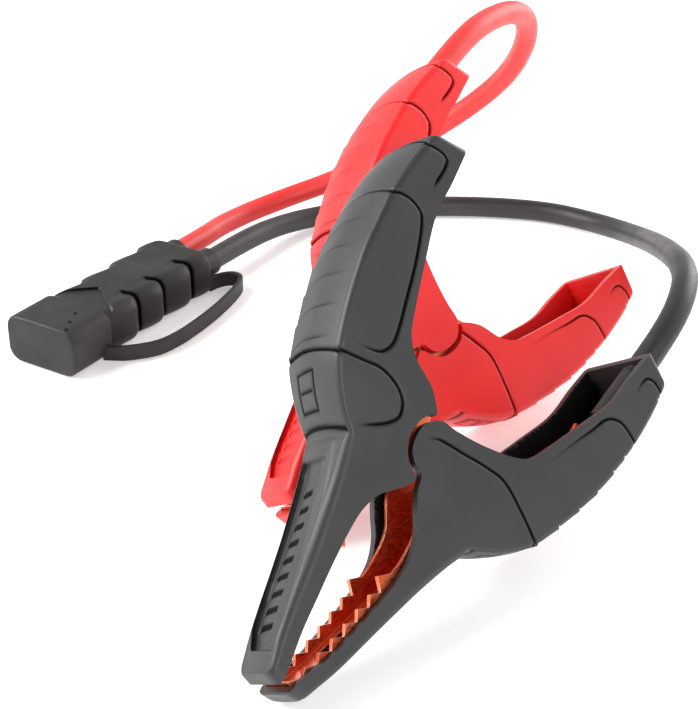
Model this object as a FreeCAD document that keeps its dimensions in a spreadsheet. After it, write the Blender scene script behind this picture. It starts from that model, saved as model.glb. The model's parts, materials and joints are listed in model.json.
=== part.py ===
import FreeCAD, Part
import math
import os
import Sketcher
from FreeCAD import Matrix, Placement, Rotation, Vector

# Clamp lead set of a vehicle jump starter: two sprung battery clamps, two thick leads
# and a capped two-pole plug. All sizes are in millimetres, +Z is up, and the floor is z = 0.
#
# Clamp frame: x runs from the jaw tip to the handle end, y up towards the upper half,
# z towards the side that faces up when the clamp lies down. Both halves are one moulding:
# the lower half is the upper half turned half a turn about x.

doc = FreeCAD.newDocument("ClampLeads")
sheet = doc.addObject("Spreadsheet::Sheet", "Sizes")

DRIVING_SIZES = {
    # clamp halves
    "clamp_length": 155.0,
    "cover_wall": 2.2,
    "end_wall": 2.5,
    "pivot_from_tip": 78.0,
    "tip_half_width": 8.2,
    "waist_half_width": 11.2,
    "shoulder_half_width": 12.8,
    "end_half_width": 14.6,
    "lobe_radius": 8.5,
    "recess_radius": 10.2,
    # copper jaws
    "jaw_thickness": 1.2,
    "jaw_tip_half_width": 5.6,
    "jaw_half_width": 8.6,
    "jaw_joggle": 1.5,
    "ear_radius": 7.4,
    "ear_hole_radius": 2.56,
    "tooth_pitch": 5.3,
    "tooth_depth": 2.2,
    # pivot
    "rivet_radius": 2.5,
    "rivet_head_radius": 4.0,
    "rivet_head_height": 1.2,
    "rivet_grip": 17.6,
    "bush_radius": 3.9,
    "bush_length": 11.2,
    "coil_radius": 5.2,
    "spring_wire_radius": 1.0,
    "coil_pitch": 2.05,
    "leg_angle": 58.0,
    "leg_reach": 46.0,
    # leads
    "lead_diameter": 8.6,
    "lead_height": 9.25,
    "lead_spread": 8.0,
    "conductor_radius": 2.9,
    # plug
    "cap_width": 32.0,
    "cap_height": 18.5,
    "cap_length": 20.5,
    "cap_corner": 5.5,
    "boot_front": 20.8,
    "boot_length": 62.0,
    "boot_height": 17.5,
    "boot_neck": 14.2,
    "boot_bulge": 1.7,
    "boot_round": 3.5,
    "nose_width": 24.0,
    "nose_height": 13.0,
    "nose_length": 16.0,
    "contact_pitch": 11.0,
    "contact_radius": 2.5,
    "contact_bore": 3.4,
    "contact_length": 12.0,
    "nose_front": 4.8,
    "nose_corner": 2.5,
    "housing_in_boot": 22.0,
    "sleeve_radius": 5.6,
    "sleeve_length": 8.0,
    "strap_width": 6.0,
    "strap_thickness": 2.0,
}

for row, (alias, value) in enumerate(DRIVING_SIZES.items(), start=1):
    sheet.set(f"A{row}", alias)
    sheet.set(f"B{row}", str(value))
    sheet.setAlias(f"B{row}", alias)
doc.recompute()


def size(alias):
    return float(sheet.get(alias))


SUB_PARTS = []


def bind(obj, **cells):
    """Tie properties of obj to cells of the sheet; a value is an expression in aliases."""
    for prop, expression in cells.items():
        words = []
        for word in expression.split():
            words.append(f"<<Sizes>>.{word}" if word in DRIVING_SIZES else word)
        obj.setExpression(prop, " ".join(words))


def keep(obj, label, placement=None):
    """Name a finished sub-part and put it in its place."""
    obj.Label = label
    if placement is not None:
        obj.Placement = placement
    SUB_PARTS.append(obj)
    return obj


def shape_part(label, shape, placement=Placement()):
    """A sub-part whose shape no sketch or primitive makes."""
    obj = doc.addObject("Part::Feature", label)
    own = shape.Placement
    obj.Shape = shape
    obj.Placement = placement * own
    SUB_PARTS.append(obj)
    return obj


# ---------------------------------------------------------------- outlines

END = size("clamp_length")
PIVOT = Vector(size("pivot_from_tip"), 0, 0)
WALL = size("cover_wall")

# Crest of the upper half, from the tip over the waist and the shoulder to the handle end.
JAW_CREST = [(0.6, 6.4), (13, 10.5), (32, 15.5), (51, 21.0), (64, 25.6)]
HANDLE_CREST = [
    (64, 25.6),
    (68, 31.2),
    (73, 36.8),
    (79, 41.4),
    (91, 46.5),
    (105, 51.0),
    (116, 53.1),
    (127, 54.6),
    (139, 55.0),
    (151, 54.0),
]
# Inner edge of the handle, from its end back to the pivot.
HANDLE_EDGE = [(154.9, 43.2), (147, 41.3), (138, 41.0), (131, 39.6), (118, 34.7), (104, 29.0)]
THROAT_EDGE = [(104, 29.0), (98, 26.0), (94, 21.5), (91.5, 13.5), (85.8, 6.6)]
# Mouth edge, from the pivot to the tip.
MOUTH_EDGE = [(64.7, 1.9), (61.8, 3.7), (58.8, 6.3), (54, 8.8), (46.4, 9.3), (35, 8.2)]
LIP_EDGE = [(35, 8.2), (21.6, 6.2), (14.5, 4.9), (5.8, 2.8), (0, 1.2)]


def points(pairs):
    return [Vector(x, y, 0) for x, y in pairs]


def spline(pairs):
    curve = Part.BSplineCurve()
    curve.interpolate(points(pairs))
    return curve.toShape()


def straight(start, end):
    return Part.makeLine(Vector(*start, 0), Vector(*end, 0))


def chain(pairs):
    return [straight(a, b) for a, b in zip(pairs[:-1], pairs[1:])]


def inset(pairs, distance):
    """The same run of points moved inwards, square to the run."""
    moved = []
    for i, (x, y) in enumerate(pairs):
        ax, ay = pairs[max(i - 1, 0)]
        bx, by = pairs[min(i + 1, len(pairs) - 1)]
        length = math.hypot(bx - ax, by - ay)
        moved.append((x + (by - ay) / length * distance, y - (bx - ax) / length * distance))
    return moved


def prism(edges, low, high):
    """A closed outline in the x-y plane, raised from z = low to z = high."""
    face = Part.Face(Part.Wire(Part.sortEdges(edges)[0]))
    solid = face.extrude(Vector(0, 0, high - low))
    solid.translate(Vector(0, 0, low))
    return solid


def plan_block(near, far):
    """A block whose x-z outline has those near (+z) and far (-z) edges, tall in y."""
    loop = [Vector(x, -90, z) for x, z in near] + [Vector(x, -90, z) for x, z in reversed(far)]
    face = Part.Face(Part.makePolygon(loop + loop[:1]))
    return face.extrude(Vector(0, 180, 0))


def mirrored(pairs):
    return [(x, -z) for x, z in pairs]


def pivot_disc(radius, low, high):
    base = Vector(PIVOT.x, 0, low)
    return Part.makeCylinder(radius, high - low, base, Vector(0, 0, 1))


def line_at(pairs, x):
    """Height of a run of points at x."""
    for (ax, ay), (bx, by) in zip(pairs[:-1], pairs[1:]):
        if min(ax, bx) <= x <= max(ax, bx):
            return ay + (by - ay) * (x - ax) / (bx - ax)
    raise ValueError(f"x = {x} is off the run")


# ---------------------------------------------------------------- clamp halves

# Half widths along the clamp, outside the cover.
COVER_PLAN = [
    (-1, size("tip_half_width")),
    (64, size("waist_half_width")),
    (79, size("shoulder_half_width")),
    (END + 1, size("end_half_width")),
]


def cover_outline():
    edges = chain(JAW_CREST) + [spline(HANDLE_CREST)]
    edges.append(straight(HANDLE_CREST[-1], HANDLE_EDGE[0]))
    edges.append(spline(HANDLE_EDGE))
    edges.append(spline(THROAT_EDGE))
    edges.append(straight(THROAT_EDGE[-1], MOUTH_EDGE[0]))
    edges.append(spline(MOUTH_EDGE))
    edges += chain(LIP_EDGE)
    edges.append(straight(LIP_EDGE[-1], JAW_CREST[0]))
    return edges


def cavity_outline():
    jaw_top = inset(JAW_CREST, WALL)
    handle_top = inset(HANDLE_CREST, WALL)
    front = (WALL, line_at(jaw_top, WALL))
    jaw_top = [front] + jaw_top[1:-1] + [handle_top[0]]
    end_x = END - size("end_wall")
    back = (end_x, handle_top[-1][1])
    edges = chain(jaw_top) + [spline(handle_top)]
    edges.append(straight(handle_top[-1], back))
    edges += chain([back, (end_x, -20), (WALL, -20), front])
    return edges


def lead_entry(exit_side):
    """Ends of the jacket inside the handle: at the crimp and in the end wall."""
    inner = Vector(133, 47.9, 0.2 * exit_side)
    outer = Vector(END, 48.2, exit_side)
    return inner, outer


def cover_shape(exit_side=None):
    """One handle and jaw cover: a channel open towards the other half. The lead's half has
    exit_side, a hole for the lead and a lobe on each side of the pivot. The free half is
    cut back there, so that the lobes turn in it."""
    wide = 40
    shell = prism(cover_outline(), -wide, wide).common(plan_block(COVER_PLAN, mirrored(COVER_PLAN)))
    inner_plan = [(x, half - WALL) for x, half in COVER_PLAN]
    cavity = prism(cavity_outline(), -wide, wide)
    shell = shell.cut(cavity.common(plan_block(inner_plan, mirrored(inner_plan))))
    if exit_side is None:
        return shell.cut(pivot_disc(size("recess_radius"), -wide, wide)).removeSplitter()
    outer_face = line_at(COVER_PLAN, PIVOT.x)
    for low in (-outer_face, outer_face - WALL):
        lobe = pivot_disc(size("lobe_radius"), low, low + WALL)
        root = Part.makeBox(14, 12, WALL, Vector(PIVOT.x - 7, 0, low))
        shell = shell.fuse(lobe).fuse(root)
    inner, outer = lead_entry(exit_side)
    along = outer - inner
    radius = size("lead_diameter") / 2 + 0.05
    return shell.cut(Part.makeCylinder(radius, along.Length + 10, inner, along)).removeSplitter()


def tooth_edge():
    """Toothed free edge of a jaw, from the throat to the tip; the first tooth is the largest."""
    pitch = size("tooth_pitch")
    depth = size("tooth_depth")
    lip = MOUTH_EDGE[-2:] + LIP_EDGE[1:]
    edge = [(44.0, line_at(lip, 44.0) + 0.2)]
    edge.append((40.5, line_at(lip, 40.5) - depth - 0.4))
    x = 40.5 - pitch / 2
    while x - pitch > 3:
        edge.append((x, line_at(lip, x) + depth / 2))
        edge.append((x - pitch / 2, line_at(lip, x - pitch / 2) - depth / 2))
        x -= pitch
    edge.append((x, line_at(lip, x) + depth / 3))
    edge.append((2.6, 0.5))
    return edge


JAW_GAP = 0.25


def jaw_top(tail_x):
    """Outside of a jaw's base, just under the cover, from the tip to its tail."""
    under = WALL + JAW_GAP
    front = inset(JAW_CREST, under)
    back = [p for p in inset(HANDLE_CREST, under) if p[0] < tail_x]
    back.append((tail_x, line_at(inset(HANDLE_CREST, under), tail_x)))
    start = (2.6, line_at(front, 2.6))
    return [start] + front[1:-1], back


def jaw_shape(tail_x):
    """A stamped channel with toothed edges, ears at the pivot and a tail in the handle."""
    thick = size("jaw_thickness")
    front, back = jaw_top(tail_x)
    throat = [(88.0, 5.0), (91.0, 13.5), (92.5, 21.0), (97.0, 29.0), (106.0, 35.5)]
    cheek = [(70.5, 1.6), (66.0, 3.2), (60.0, 7.4), (52.0, 9.6), (44.0, tooth_edge()[0][1])]
    outline = chain(front) + [straight(front[-1], back[0]), spline(back)]
    tail_low = (tail_x, back[-1][1] - 9)
    outline += chain([back[-1], tail_low, (106.0, 35.5)]) if tail_x > 106 else []
    outline += [spline(throat[::-1]), straight(throat[0], cheek[0]), spline(cheek)]
    outline += chain(tooth_edge()) + [straight(tooth_edge()[-1], front[0])]
    wide = 30
    half = size("jaw_half_width")
    tip = size("jaw_tip_half_width")
    inner_half = half - size("jaw_joggle")
    near = [(-1, tip), (52, half - 0.8), (60, inner_half), (tail_x + 1, inner_half)]
    far = [(-1, -tip), (52, -half + 0.8), (60, -half), (tail_x + 1, -half)]
    blank = prism(outline, -wide, wide).fuse(pivot_disc(size("ear_radius"), -wide, wide))
    blank = blank.common(plan_block(near, far))
    hollow_top = inset(front, thick)
    hollow_back = inset(back, thick)
    hollow_top[0] = (2.6 + thick, line_at(hollow_top, 2.6 + thick))
    run = chain(hollow_top) + [straight(hollow_top[-1], hollow_back[0]), spline(hollow_back)]
    far_x = tail_x + 5
    run += chain([hollow_back[-1], (far_x, hollow_back[-1][1] + 1), (far_x, -20)])
    run += chain([(far_x, -20), (2.6 + thick, -20), hollow_top[0]])
    inner_near = [(x, z - thick) for x, z in near] + [(far_x, inner_half - thick)]
    inner_far = [(x, z + thick) for x, z in far] + [(far_x, -half + thick)]
    hollow = prism(run, -wide, wide).common(plan_block(inner_near, inner_far))
    jaw = blank.cut(hollow).cut(pivot_disc(size("ear_hole_radius"), -wide, wide))
    slot = Part.makeBox(10, 30, 4.4, Vector(16, 3, -2.2))
    return jaw.cut(slot).removeSplitter()


def crimp_shape(start_x, end_x):
    """Strip that carries on from the jaw's tail, with two pairs of wings round the lead."""
    under = WALL + JAW_GAP
    thick = size("jaw_thickness")
    half = size("conductor_radius") + thick + 0.1
    top = inset(HANDLE_CREST, under)
    upper = [(start_x, line_at(top, start_x)), (116, line_at(top, 116)), (127, line_at(top, 127))]
    upper.append((end_x, line_at(top, end_x)))
    lower = [(x, y - thick) for x, y in upper]
    strip = prism(chain(upper + lower[::-1] + upper[:1]), -half, half)
    for x in (start_x + 5, end_x - 9):
        height = line_at(upper, x) - thick / 2
        for z in (-half, half - thick):
            strip = strip.fuse(Part.makeBox(7, 8, thick, Vector(x, height - 8, z)))
    return strip


def conductor_ends():
    strip = WALL + JAW_GAP + size("jaw_thickness") + size("conductor_radius") + 0.15
    top = inset(HANDLE_CREST, strip)
    return Vector(111, line_at(top, 111), 0), Vector(133, line_at(top, 131), 0)


def tube_between(start, end, radius):
    return Part.makeCylinder(radius, (end - start).Length, start, end - start)


def spring_shape():
    """Torsion spring: a coil round the pivot bush and a straight leg out to each handle."""
    radius = size("coil_radius")
    wire_radius = size("spring_wire_radius")
    pitch = size("coil_pitch")
    turns = 3.5 - size("leg_angle") / 180
    height = pitch * turns
    helix = Part.makeHelix(pitch, height, radius)
    slope = 2 * math.pi * radius
    start = Vector(radius, 0, 0)
    start_along = Vector(0, slope, pitch).normalize()
    turn = math.radians(360 * turns)
    end = Vector(radius * math.cos(turn), radius * math.sin(turn), height)
    end_along = Vector(-slope * math.sin(turn), slope * math.cos(turn), pitch).normalize()
    first = start - start_along * size("leg_reach")
    last = end + end_along * size("leg_reach")
    wire = Part.Wire([Part.makeLine(first, start)] + helix.Edges + [Part.makeLine(end, last)])
    section = Part.Wire(Part.makeCircle(wire_radius, first, start_along))
    spring = wire.makePipeShell([section], True, True)
    spring.translate(Vector(0, 0, -height / 2))
    spring.rotate(Vector(), Vector(0, 0, 1), 90 + size("leg_angle"))
    spring.translate(PIVOT)
    return spring


def rivet_part(label, placement):
    shaft = doc.addObject("Part::Cylinder", label + "_shaft")
    bind(shaft, Radius="rivet_radius", Height="rivet_grip")
    bind(shaft, **{"Placement.Base.x": "pivot_from_tip", "Placement.Base.z": "0 - rivet_grip / 2"})
    heads = []
    for name, base in (("near", "rivet_grip / 2"), ("far", "0 - rivet_grip / 2 - rivet_head_height")):
        head = doc.addObject("Part::Cylinder", f"{label}_{name}_head")
        bind(head, Radius="rivet_head_radius", Height="rivet_head_height")
        bind(head, **{"Placement.Base.x": "pivot_from_tip", "Placement.Base.z": base})
        heads.append(head)
    rivet = doc.addObject("Part::MultiFuse", label)
    rivet.Shapes = [shaft] + heads
    return keep(rivet, label, placement)


def ring_part(label, outer, inner, height, offset, placement, base_x="0"):
    """A plain sleeve along its own z, from expressions in the sheet's aliases."""
    body = doc.addObject("Part::Cylinder", label + "_outside")
    bind(body, Radius=outer, Height=height)
    hole = doc.addObject("Part::Cylinder", label + "_bore")
    bind(hole, Radius=inner, Height=height + " + 2")
    bind(body, **{"Placement.Base.x": base_x, "Placement.Base.z": offset})
    bind(hole, **{"Placement.Base.x": base_x, "Placement.Base.z": offset + " - 1"})
    ring = doc.addObject("Part::Cut", label)
    ring.Base = body
    ring.Tool = hole
    return keep(ring, label, placement)


def clamp_placement(tip, heading, rise, lean):
    """The clamp on the floor: its x axis heads from +Y towards +X and rises, and the clamp
    leans over about that axis."""
    upright = Rotation(Matrix(0, 0, 1, 0, 1, 0, 0, 0, 0, 1, 0, 0))
    turn = Rotation(Vector(0, 0, 1), -heading)
    tilt = Rotation(Vector(1, 0, 0), rise)
    roll = Rotation(Vector(0, 1, 0), -lean)
    return Placement(tip, turn * tilt * roll * upright)


TURNED_OVER = Placement(Vector(), Rotation(Vector(1, 0, 0), 180))

CLAMPS = {
    # name: (tip position, heading, rise, lean, is the lead in the lower half, lead exit side)
    "black": (Vector(72.81, -110.94, 8.96), 0.0, 23.7, 36.1, True, -5.5),
    "red": (Vector(33.51, -45.74, 11.95), 0.9, 20.6, 34.9, False, -1.0),
}

LEAD_EXITS = {}


def build_clamp(name, tip, heading, rise, lean, lead_below, exit_side):
    place = clamp_placement(tip, heading, rise, lean)
    upper = place
    lower = place * TURNED_OVER
    lead_half = lower if lead_below else upper
    free_half = upper if lead_below else lower
    shape_part(f"{name}_lead_handle_cover", cover_shape(exit_side), lead_half)
    shape_part(f"{name}_free_handle_cover", cover_shape(), free_half)
    tail = 108.0
    lead_jaw = jaw_shape(tail).fuse(crimp_shape(tail - 2, 131.0)).removeSplitter()
    shape_part(f"{name}_lead_jaw", lead_jaw, lead_half)
    shape_part(f"{name}_free_jaw", jaw_shape(tail), free_half)
    rivet_part(f"{name}_pivot_rivet", place)
    ring_part(
        f"{name}_spring_bush",
        "bush_radius",
        "rivet_radius + 0.05",
        "bush_length",
        "0 - bush_length / 2",
        place,
        "pivot_from_tip",
    )
    shape_part(f"{name}_torsion_spring", spring_shape(), place)
    start, end = conductor_ends()
    strands = tube_between(start, end, size("conductor_radius"))
    shape_part(f"{name}_conductor", strands, lead_half)
    inner, outer = lead_entry(exit_side)
    jacket = tube_between(inner, outer, size("lead_diameter") / 2)
    shape_part(f"{name}_jacket_end", jacket, lead_half)
    LEAD_EXITS[name] = (lead_half.multVec(outer), lead_half.Rotation.multVec(outer - inner))


for clamp_name, clamp in CLAMPS.items():
    build_clamp(clamp_name, *clamp)

# ---------------------------------------------------------------- plug
# Plug frame: y runs from the dust cap's front face back to the leads, x to the clamps' side,
# and the plug lies flat on the floor.

PLUG_PLACE = Placement(Vector(-100.69, -2.54, 0), Rotation())


def origin_plane(body, role):
    return next(f for f in body.Origin.OriginFeatures if f.Role == role)


def rectangle_sketch(body, name, width, height, centre_z, back="0"):
    """A rectangle square to y, centred on x = 0, with its sides bound to the sheet."""
    sketch = body.newObject("Sketcher::SketchObject", name)
    sketch.AttachmentSupport = [(origin_plane(body, "XZ_Plane"), "")]
    sketch.MapMode = "FlatFace"
    bind(sketch, **{"AttachmentOffset.Base.y": centre_z, "AttachmentOffset.Base.z": f"0 - {back}"})
    corners = [Vector(-8, -5, 0), Vector(8, -5, 0), Vector(8, 5, 0), Vector(-8, 5, 0)]
    for i in range(4):
        sketch.addGeometry(Part.LineSegment(corners[i], corners[(i + 1) % 4]), False)
    for i in range(4):
        sketch.addConstraint(Sketcher.Constraint("Coincident", i, 2, (i + 1) % 4, 1))
    for i in (0, 2):
        sketch.addConstraint(Sketcher.Constraint("Horizontal", i))
        sketch.addConstraint(Sketcher.Constraint("Vertical", i + 1))
    sketch.addConstraint(Sketcher.Constraint("Symmetric", 0, 1, 2, 1, -1, 1))
    for kind, label, line, value in (
        ("DistanceX", "wide", 0, width),
        ("DistanceY", "tall", 1, height),
    ):
        index = sketch.addConstraint(Sketcher.Constraint(kind, line, 1, line, 2, 10.0))
        sketch.renameConstraint(index, label)
        bind(sketch, **{f"Constraints.{label}": value})
    return sketch


def pad(body, name, sketch, length, reverse):
    feature = body.newObject("PartDesign::Pad", name)
    feature.Profile = sketch
    feature.Reversed = reverse
    bind(feature, Length=length)
    return feature


def pocket(body, name, sketch, length, reverse):
    feature = body.newObject("PartDesign::Pocket", name)
    feature.Profile = sketch
    feature.Reversed = reverse
    bind(feature, Length=length)
    return feature


def edges_along_y(feature):
    names = []
    for i, edge in enumerate(feature.Shape.Edges, start=1):
        box = edge.BoundBox
        if box.YLength > 1 and box.XLength < 0.01 and box.ZLength < 0.01:
            names.append(f"Edge{i}")
    return names


def front_edges(feature):
    front = feature.Shape.BoundBox.YMin
    names = []
    for i, edge in enumerate(feature.Shape.Edges, start=1):
        if edge.BoundBox.YMax < front + 0.01:
            names.append(f"Edge{i}")
    return names


def fillet(body, name, base, edges, radius):
    feature = body.newObject("PartDesign::Fillet", name)
    feature.Base = (base, edges)
    bind(feature, Radius=radius)
    return feature


def dust_cap():
    """Rubber cup that is pulled off the plug's nose; its hollow opens towards +y."""
    body = doc.addObject("PartDesign::Body", "dust_cap")
    outline = rectangle_sketch(body, "CapOutline", "cap_width", "cap_height", "cap_height / 2")
    block = pad(body, "CapBlock", outline, "cap_length", True)
    doc.recompute()
    corners = fillet(body, "CapCorners", block, edges_along_y(block), "cap_corner")
    doc.recompute()
    nose = fillet(body, "CapNose", corners, front_edges(corners), "cap_corner / 3")
    doc.recompute()
    hollow = rectangle_sketch(
        body,
        "CapHollow",
        "nose_width + 0.8",
        "nose_height + 0.8",
        "cap_height / 2",
        "cap_length",
    )
    pocket(body, "CapCup", hollow, "nose_length + 1.2", True)
    doc.recompute()
    removed = nose.Shape.Volume - body.Shape.Volume
    print("cap hollow", round(removed), "mm3")
    return keep(body, "dust_cap", PLUG_PLACE)


def housing_bores(body, name, start, radius, length):
    """Two bores side by side, from y = start towards +y."""
    sketch = body.newObject("Sketcher::SketchObject", name)
    sketch.AttachmentSupport = [(origin_plane(body, "XZ_Plane"), "")]
    sketch.MapMode = "FlatFace"
    bind(
        sketch,
        **{"AttachmentOffset.Base.y": "cap_height / 2", "AttachmentOffset.Base.z": f"0 - {start}"},
    )
    for i, side in enumerate((-1, 1)):
        sketch.addGeometry(Part.Circle(Vector(5.5 * side, 0, 0), Vector(0, 0, 1), 3.0), False)
        sketch.addConstraint(Sketcher.Constraint("PointOnObject", i, 3, -1))
        far = sketch.addConstraint(Sketcher.Constraint("DistanceX", -1, 1, i, 3, 5.5 * side))
        sketch.renameConstraint(far, f"pitch{i}")
        across = sketch.addConstraint(Sketcher.Constraint("Radius", i, 3.0))
        sketch.renameConstraint(across, f"bore{i}")
        bind(
            sketch,
            **{
                f"Constraints.pitch{i}": f"{side} * contact_pitch / 2",
                f"Constraints.bore{i}": radius,
            },
        )
    return pocket(body, name + "Pocket", sketch, length, False)


def plug_housing():
    """Two-pole insulator: a nose with two shrouded contact bores, held in the boot."""
    body = doc.addObject("PartDesign::Body", "plug_housing")
    outline = rectangle_sketch(
        body, "NoseOutline", "nose_width", "nose_height", "cap_height / 2", "nose_front"
    )
    block = pad(body, "NoseBlock", outline, "nose_length + housing_in_boot", True)
    doc.recompute()
    rounded = fillet(body, "NoseCorners", block, edges_along_y(block), "nose_corner")
    doc.recompute()
    before = rounded.Shape.Volume
    housing_bores(body, "ContactBores", "nose_front", "contact_bore", "contact_length + 2")
    doc.recompute()
    housing_bores(body, "CableBores", "nose_front", "contact_radius", "nose_length + 60")
    doc.recompute()
    print("housing bores", round(before - body.Shape.Volume), "mm3")
    return keep(body, "plug_housing", PLUG_PLACE)


def contact_part(label, side):
    """Round contact: a bullet tip in its shroud and a solid shank through the housing."""
    parts = []
    pieces = (
        ("shank", "contact_radius", "contact_length + housing_in_boot", "nose_front + 2"),
    )
    for name, radius, length, start in pieces:
        rod = doc.addObject("Part::Cylinder", f"{label}_{name}")
        bind(rod, Radius=radius, Height=length)
        rod.Placement = Placement(Vector(), Rotation(Vector(1, 0, 0), -90))
        bind(
            rod,
            **{
                "Placement.Base.x": f"{side} * contact_pitch / 2",
                "Placement.Base.y": start,
                "Placement.Base.z": "cap_height / 2",
            },
        )
        parts.append(rod)
    tip = doc.addObject("Part::Cone", f"{label}_tip")
    bind(tip, Radius1="contact_radius * 0.6", Radius2="contact_radius", Height="1.2")
    tip.Placement = Placement(Vector(), Rotation(Vector(1, 0, 0), -90))
    bind(
        tip,
        **{
            "Placement.Base.x": f"{side} * contact_pitch / 2",
            "Placement.Base.y": "nose_front + 0.8",
            "Placement.Base.z": "cap_height / 2",
        },
    )
    fused = doc.addObject("Part::MultiFuse", label)
    fused.Shapes = parts + [tip]
    return keep(fused, label, PLUG_PLACE)


BOOT_STEPS = 4


def boot_outline():
    """Plan outline with a row of bulging grips down each side."""
    neck = size("boot_neck")
    start = size("boot_front")
    step = size("boot_length") / BOOT_STEPS
    edges = []
    for side in (1, -1):
        for i in range(BOOT_STEPS):
            low = Vector(side * neck, start + i * step, 0)
            high = Vector(side * neck, start + (i + 1) * step, 0)
            crest = Vector(side * (neck + size("boot_bulge")), start + (i + 0.6) * step, 0)
            edges.append(Part.Arc(low, crest, high).toShape())
    for y in (start, start + BOOT_STEPS * step):
        edges.append(Part.makeLine(Vector(-neck, y, 0), Vector(neck, y, 0)))
    return edges


def lead_line(side):
    """Straight stretch of a lead in the boot: from its strands to the sleeve's rear end."""
    back = size("boot_front") + size("boot_length") + size("sleeve_length")
    x = side * size("lead_spread")
    z = size("lead_height")
    return Vector(x, STRANDS_END, z), Vector(x, back, z)


STRANDS_END = 52.0


STRAND_RADIUS = 2.2


def strand_line(side):
    """Bare strands from the rear of a contact to the start of the jacket."""
    contact_end = size("nose_front") + 2 + size("contact_length") + size("housing_in_boot")
    start = Vector(side * size("contact_pitch") / 2, contact_end, size("cap_height") / 2)
    return start, lead_line(side)[0]


def plug_boot():
    """Rubber boot moulded round the housing and both leads."""
    height = size("boot_height")
    half = size("boot_neck") + size("boot_bulge")
    length = size("boot_length")
    bar = Part.makeBox(2 * half, length, height, Vector(-half, size("boot_front"), 0))
    long_edges = [e for e in bar.Edges if e.BoundBox.YLength > length / 2]
    bar = bar.makeFillet(size("boot_round"), long_edges)
    boot = prism(boot_outline(), 0, height).common(bar)
    width = size("nose_width")
    tall = size("nose_height")
    depth = size("housing_in_boot")
    low = (size("cap_height") - tall) / 2
    front = size("boot_front")
    boot = boot.cut(Part.makeBox(width, depth, tall, Vector(-width / 2, front, low)))
    for side in (-1, 1):
        start, end = lead_line(side)
        boot = boot.cut(tube_between(start, end, size("lead_diameter") / 2))
        start, end = strand_line(side)
        boot = boot.cut(tube_between(start, end, STRAND_RADIUS))
    return boot.removeSplitter()



def rounded_path(route, share=0.45):
    """Straight runs joined by tangent arcs; each arc is as large as its two runs allow."""
    edges = []
    radii = []
    start = route[0]
    for before, corner, after in zip(route[:-2], route[1:-1], route[2:]):
        back = (before - corner).normalize()
        ahead = (after - corner).normalize()
        half_turn = (math.pi - back.getAngle(ahead)) / 2
        trim = share * min((before - corner).Length, (after - corner).Length)
        radius = trim / math.tan(half_turn)
        first = corner + back * trim
        last = corner + ahead * trim
        inward = (back + ahead).normalize()
        middle = corner + inward * (radius / math.cos(half_turn) - radius)
        edges.append(Part.LineSegment(start, first).toShape())
        edges.append(Part.Arc(first, middle, last).toShape())
        radii.append(radius)
        start = last
    edges.append(Part.LineSegment(start, route[-1]).toShape())
    return Part.Wire(edges), radii


def tube_along(label, route, radius):
    path, radii = rounded_path(route)
    along = (route[1] - route[0]).normalize()
    section = Part.Wire(Part.makeCircle(radius, route[0], along))
    tube = path.makePipeShell([section], True, False)
    expected = math.pi * radius**2 * path.Length
    print(f"{label}: length {path.Length:.1f}, volume ratio {tube.Volume / expected:.4f}")
    print("  arc radii", " ".join(f"{r:.0f}" for r in radii))
    return tube


STRAP_ROUTE = [
    (14.6, 15.5),
    (22.0, 21.5),
    (29.5, 30.0),
    (30.8, 50.0),
    (28.6, 72.0),
    (24.6, 88.0),
    (19.0, 92.5),
    (14.6, 89.0),
    (13.4, 82.8),
]


def cap_tether():
    """Flat strap on its edge, from the side of the cap out and back to the boot's rear."""
    route = [Vector(x, y, 0) for x, y in STRAP_ROUTE]
    path, radii = rounded_path(route)
    half = size("strap_thickness") / 2
    outline = path.makeOffset2D(half, 2, True, True)
    strap = outline.extrude(Vector(0, 0, size("strap_width")))
    strap.translate(Vector(0, 0, 0.4))
    cap = doc.getObject("dust_cap").Shape.copy()
    cap.Placement = Placement()
    print(f"strap: length {path.Length:.1f}")
    return strap.cut(cap)


dust_cap()
plug_housing()
contact_part("negative_contact", 1)
contact_part("positive_contact", -1)
shape_part("plug_boot", plug_boot(), PLUG_PLACE)
shape_part("cap_tether", cap_tether(), PLUG_PLACE)
PLUG_EXITS = {}
for name, pole, side in (("red", "positive", -1), ("black", "negative", 1)):
    start, end = strand_line(side)
    shape_part(f"{pole}_strands", tube_between(start, end, STRAND_RADIUS), PLUG_PLACE)
    start, end = lead_line(side)
    shape_part(
        f"{name}_lead_in_boot", tube_between(start, end, size("lead_diameter") / 2), PLUG_PLACE
    )
    sleeve = tube_between(end - Vector(0, size("sleeve_length"), 0), end, size("sleeve_radius"))
    sleeve = sleeve.cut(tube_between(start, end, size("lead_diameter") / 2))
    shape_part(f"{name}_lead_sleeve", sleeve, PLUG_PLACE)
    PLUG_EXITS[name] = PLUG_PLACE.multVec(end)


# ---------------------------------------------------------------- leads
# Corner points of each lead, from its handle to its sleeve, apart from the two ends, which the
# handle and the plug give. The leads leave the handles upwards, come down and lie on the floor.

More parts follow.
